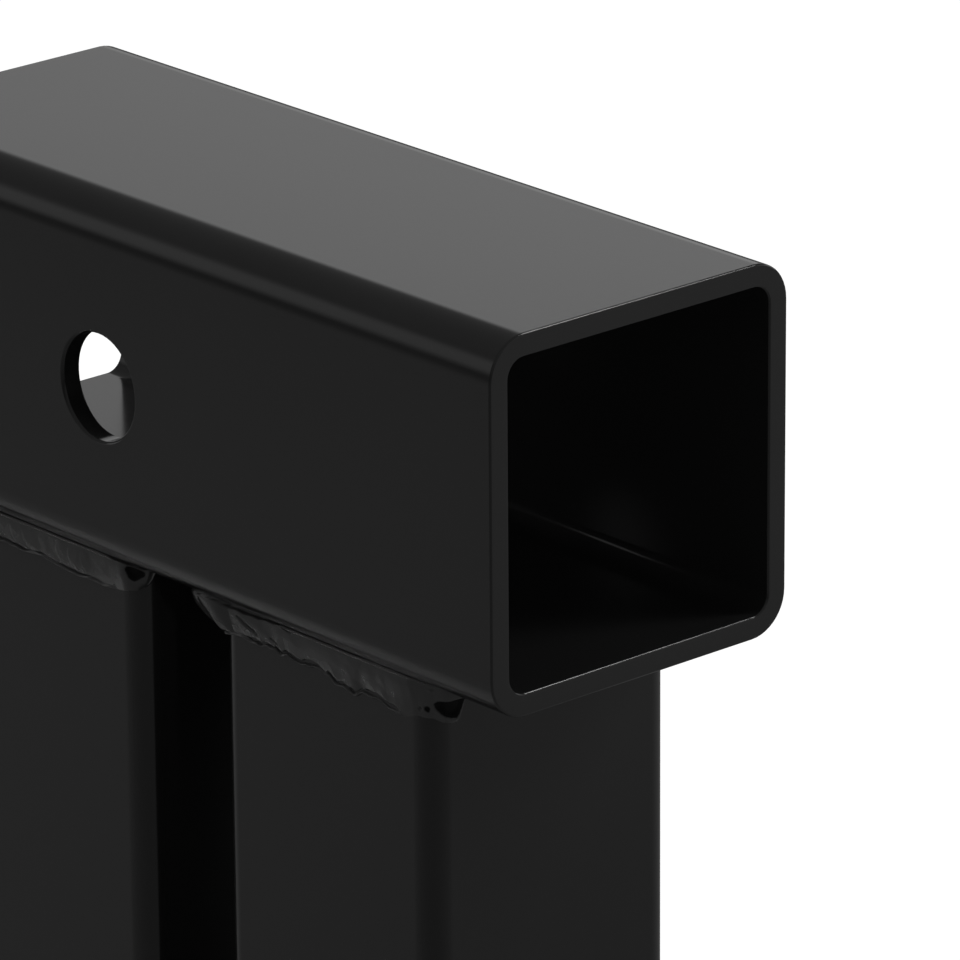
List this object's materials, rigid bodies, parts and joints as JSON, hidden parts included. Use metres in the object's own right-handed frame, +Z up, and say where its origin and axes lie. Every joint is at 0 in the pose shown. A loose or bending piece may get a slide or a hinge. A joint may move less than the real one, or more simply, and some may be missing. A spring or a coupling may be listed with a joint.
{
  "type": "hitch receiver extender",
  "caption": "Welded steel hitch extender: a square shank runs into a lower receiver tube, and two uprights on it carry an upper receiver tube. All are open square tube.",
  "frame": {"origin": "centre of the shank's pin hole, on the shank's own axis", "axes": "+X along the shank, from the vehicle to the mouths of the two receivers; +Y across, along the pin holes; +Z up, from the lower receiver to the upper one"},
  "size_m": [0.415, 0.06, 0.32],
  "materials": {
    "coated_tube": "smooth satin black powder coat with a faint orange peel",
    "coated_weld": "satin black powder coat over a hand-laid weld bead"
  },
  "bodies": {
    "root": {"upper_receiver_tube": "coated_tube", "lower_receiver_tube": "coated_tube", "shank_tube": "coated_tube", "mouth_upright": "coated_tube", "shank_upright": "coated_tube", "mouth_upright_top_left_weld": "coated_weld", "mouth_upright_top_right_weld": "coated_weld", "mouth_upright_top_end_weld": "coated_weld", "mouth_upright_foot_left_weld": "coated_weld", "mouth_upright_foot_right_weld": "coated_weld", "mouth_upright_foot_end_weld": "coated_weld", "shank_upright_top_left_weld": "coated_weld", "shank_upright_top_right_weld": "coated_weld", "shank_upright_top_end_weld": "coated_weld", "shank_upright_foot_left_weld": "coated_weld", "shank_upright_foot_right_weld": "coated_weld", "shank_upright_foot_end_weld": "coated_weld", "shank_top_weld": "coated_weld", "shank_right_weld": "coated_weld", "shank_bottom_weld": "coated_weld", "shank_left_weld": "coated_weld"}
  },
  "joints": []
}
